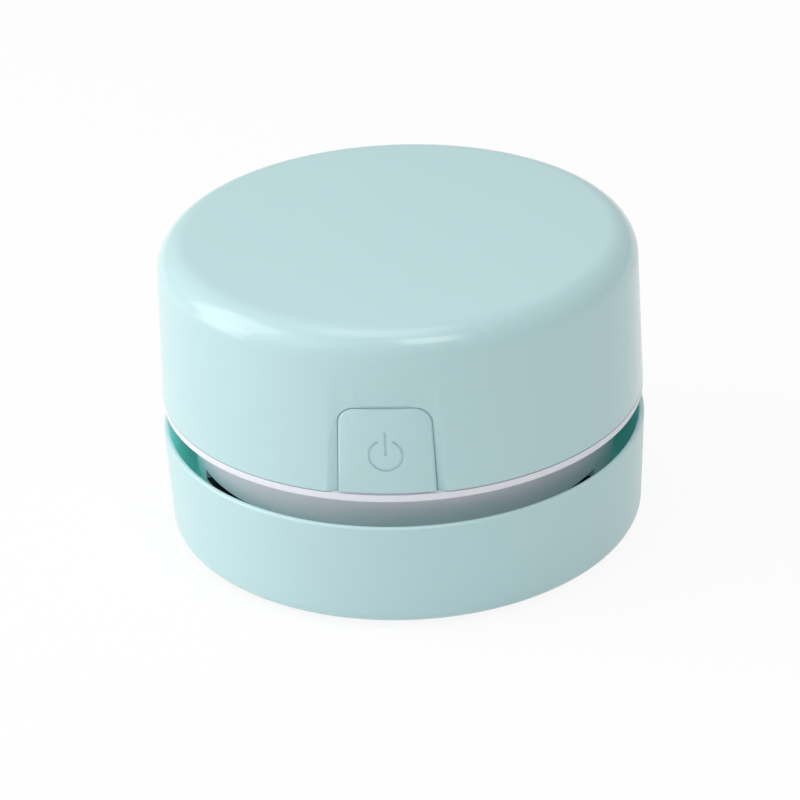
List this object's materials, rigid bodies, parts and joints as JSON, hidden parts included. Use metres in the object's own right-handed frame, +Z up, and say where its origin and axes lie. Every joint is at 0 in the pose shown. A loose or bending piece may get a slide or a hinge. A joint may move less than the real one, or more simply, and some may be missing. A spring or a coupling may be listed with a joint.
{
  "type": "desktop mini vacuum cleaner",
  "caption": "Palm-size round battery vacuum for desk crumbs: domed cover with front push button, twist-off dust bowl, brush ring below and a fan that blows out through a hidden gap.",
  "frame": {"origin": "on the table under the middle of the bowl, in the plane of the feet", "axes": "+Z up through the fan's shaft, -Y towards the button"},
  "size_m": [0.0856, 0.0856, 0.0548],
  "materials": {
    "mint_shell": "glossy moulded",
    "mint_cover": "glossy moulded",
    "mint_button": "glossy moulded",
    "white_shell": "satin moulded, faintly lilac white",
    "foot_rubber": "soft matte",
    "seal_rubber": "soft matte",
    "brush_base": "matte moulded",
    "bristle_nylon": "cut nylon bristle",
    "filter_cloth": "fine woven mesh",
    "zinc_steel": "zinc plated",
    "cell_sleeve": "plain printed sleeve",
    "nickel_strip": "nickel plated strip",
    "motor_steel": "drawn and plated",
    "cap_nylon": "natural nylon",
    "brass_leaf": "thin sheet",
    "bronze_bush": "sintered bronze",
    "ferrite": "sintered ferrite",
    "black_plastic": "fine matte",
    "board_laminate": "resin laminate",
    "red_lead": "soft insulation",
    "black_lead": "soft insulation",
    "ground_steel": "ground",
    "core_steel": "stamped laminations",
    "enamel_wire": "enamelled copper",
    "fan_plastic": "satin moulded",
    "white_plunger": "satin moulded",
    "spring_steel": "bright wire"
  },
  "bodies": {
    "dust_bowl": {"dust_bowl": "mint_shell", "glide_feet": "foot_rubber", "brush_ring": "brush_base", "brush_bristles": "bristle_nylon"},
    "seal": {"seal_ring": "seal_rubber"},
    "power_unit": {"fan_housing": "white_shell", "filter_frame": "white_shell", "filter_mesh": "filter_cloth", "battery_frame": "white_shell", "housing_screws": "zinc_steel", "battery_left": "cell_sleeve", "battery_right": "cell_sleeve", "positive_contact": "nickel_strip", "negative_contact": "nickel_strip", "bridge_contact": "nickel_strip", "negative_spring": "nickel_strip", "bridge_spring": "nickel_strip", "motor_can": "motor_steel", "motor_end_cap": "cap_nylon", "motor_brushes": "brass_leaf", "motor_bushes": "bronze_bush", "motor_magnets": "ferrite", "motor_clamp": "white_shell", "clamp_screws": "zinc_steel", "switch_body": "black_plastic", "switch_board": "board_laminate", "board_screws": "zinc_steel", "battery_lead": "red_lead", "motor_lead": "red_lead", "return_lead": "black_lead"},
    "rotor": {"motor_shaft": "ground_steel", "armature_core": "core_steel", "windings": "enamel_wire", "commutator": "brass_leaf", "impeller": "fan_plastic"},
    "button": {"power_button": "mint_button", "switch_plunger": "white_plunger", "button_spring": "spring_steel"},
    "cover": {"top_cover": "mint_cover"}
  },
  "joints": [
    {"name": "bowl_twist", "type": "hinge", "parent": "dust_bowl", "child": "seal", "pos_m": [0, 0, 0.0118], "axis": [0, 0, 1], "range_deg": [-18, 0]},
    {"name": "unit_lift", "type": "slide", "parent": "seal", "child": "power_unit", "axis": [0, 0, 1], "range_m": [0, 0.03]},
    {"name": "cover_lift", "type": "slide", "parent": "power_unit", "child": "cover", "axis": [0, 0, 1], "range_m": [0, 0.03]},
    {"name": "button_press", "type": "slide", "parent": "power_unit", "child": "button", "axis": [0, 1, 0], "range_m": [0, 0.0015], "stiffness_N_per_m": 400, "springref_m": -0.002, "deforming": ["button_spring"]},
    {"name": "impeller_spin", "type": "hinge", "parent": "power_unit", "child": "rotor", "pos_m": [0, 0, 0.02], "axis": [0, 0, 1], "continuous": true}
  ]
}
